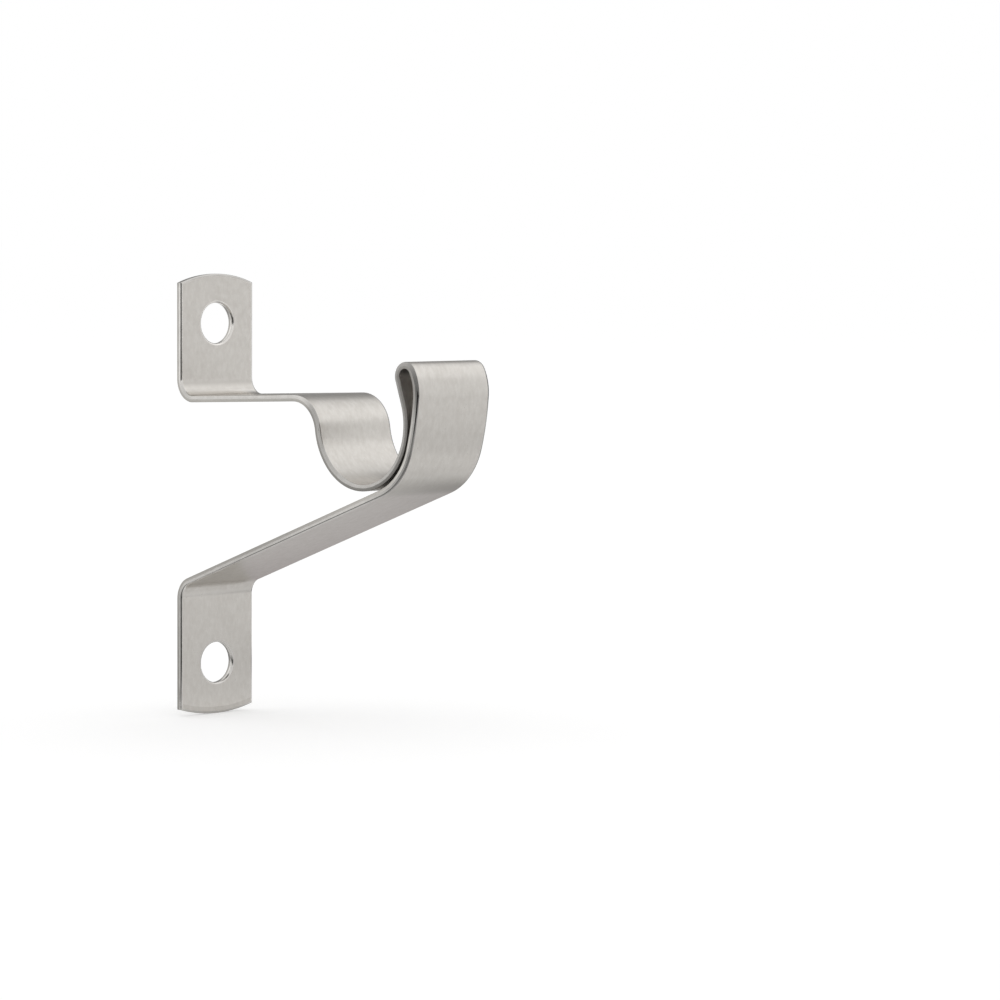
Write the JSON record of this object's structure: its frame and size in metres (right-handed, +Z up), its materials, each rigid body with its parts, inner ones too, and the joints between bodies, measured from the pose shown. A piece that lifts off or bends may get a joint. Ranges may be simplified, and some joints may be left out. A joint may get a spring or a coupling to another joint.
{
  "type": "curtain pole bracket",
  "caption": "Wall bracket folded from one steel strip, with an open saddle that cradles a curtain pole, a hollow rolled lip, a diagonal brace and screw plates with arched ends.",
  "frame": {"origin": "on the wall, midway between the centres of the two screw holes", "axes": "+X out of the wall towards the room, +Z up, Y along the pole"},
  "size_m": [0.0479, 0.013, 0.0609],
  "materials": {
    "steel": "satin brushed along the strip, with a warm nickel tone"
  },
  "bodies": {
    "root": {"bracket": "steel"}
  },
  "joints": []
}
